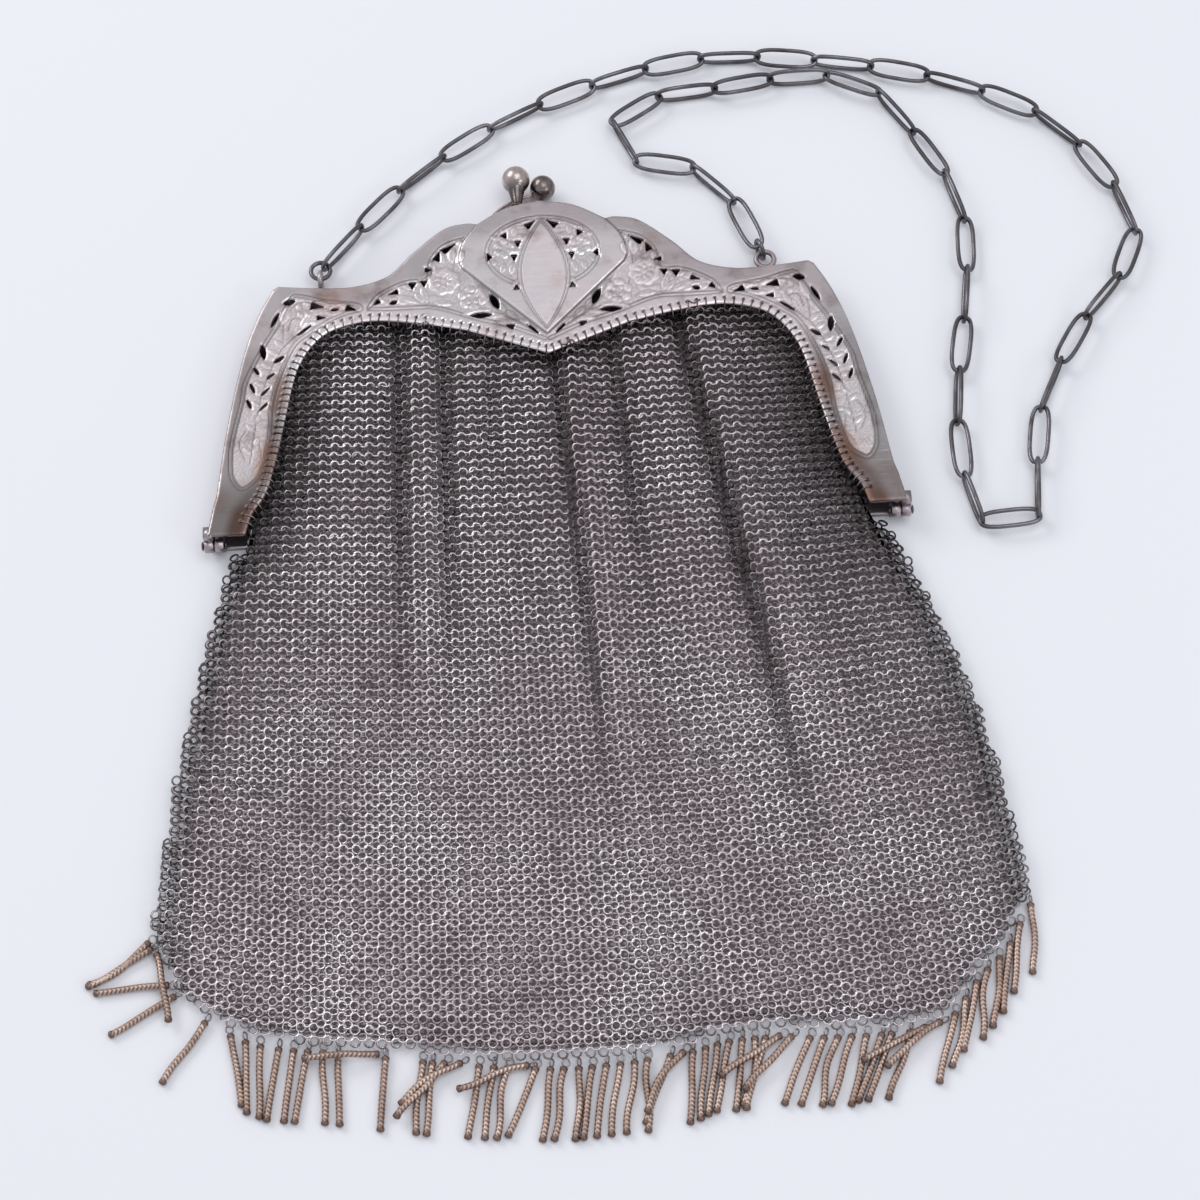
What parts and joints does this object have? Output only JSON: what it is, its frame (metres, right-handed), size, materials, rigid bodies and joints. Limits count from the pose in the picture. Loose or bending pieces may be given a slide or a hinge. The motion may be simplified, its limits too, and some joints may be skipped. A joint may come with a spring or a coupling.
{
  "type": "silver chain mesh evening bag",
  "caption": "Antique silver chain mesh evening bag with a pierced and engraved kiss lock frame, a long link carrying chain and a foxtail cord fringe, lying on its back",
  "frame": {"origin": "on the flat back of the frame, on its centre line", "axes": "X to the bag's right seen from the front, Y from the hem to the clasp, Z from the back to the front"},
  "size_m": [0.2603, 0.2839, 0.0093],
  "materials": {
    "frame_silver": "tarnished polished silver",
    "dark_silver": "oxidised silver",
    "ring_mesh": "linked silver rings",
    "fringe_cord": "worn plated foxtail cord"
  },
  "bodies": {
    "root": {"front_jaw": "frame_silver", "back_jaw": "frame_silver", "hinge_pin_left": "dark_silver", "hinge_pin_right": "dark_silver", "clasp_knob": "frame_silver", "clasp_spring": "dark_silver", "jump_ring_left": "dark_silver", "jump_ring_right": "dark_silver", "chain": "dark_silver", "mesh_bag": "ring_mesh", "fringe": "fringe_cord"}
  },
  "joints": []
}
